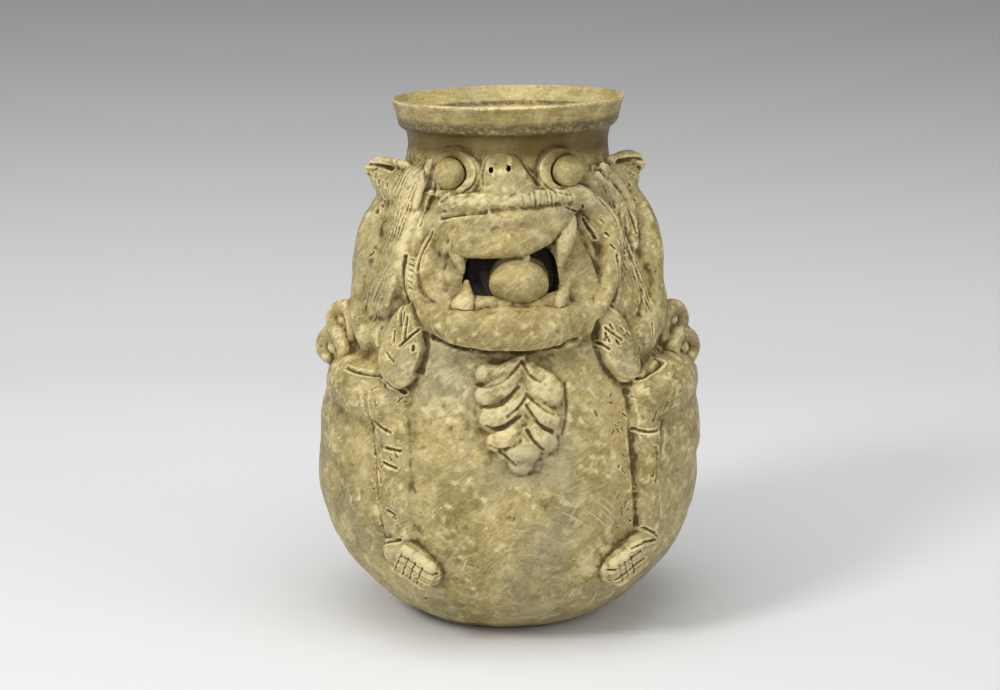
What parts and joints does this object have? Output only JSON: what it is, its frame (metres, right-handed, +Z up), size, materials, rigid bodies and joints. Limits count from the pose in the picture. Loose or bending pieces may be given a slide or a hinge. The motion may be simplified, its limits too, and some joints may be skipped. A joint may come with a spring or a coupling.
{
  "type": "ceramic lion jar",
  "caption": "Pear-shaped stoneware jar with a flared rim, its wall modelled as a crouching lion with a ball in its open jaws.",
  "frame": {"origin": "centre of the flat underside that the jar stands on", "axes": "+Z up along the jar's turned axis; -Y out of the lion's face; +X to the viewer's right when facing the lion"},
  "size_m": [0.2057, 0.2128, 0.2812],
  "materials": {
    "glazed_stoneware": "thin olive-buff ash glaze, worn to a pale matt cream on raised clay and pooled dark olive in hollows"
  },
  "bodies": {
    "root": {"lion_jar": "glazed_stoneware"}
  },
  "joints": []
}
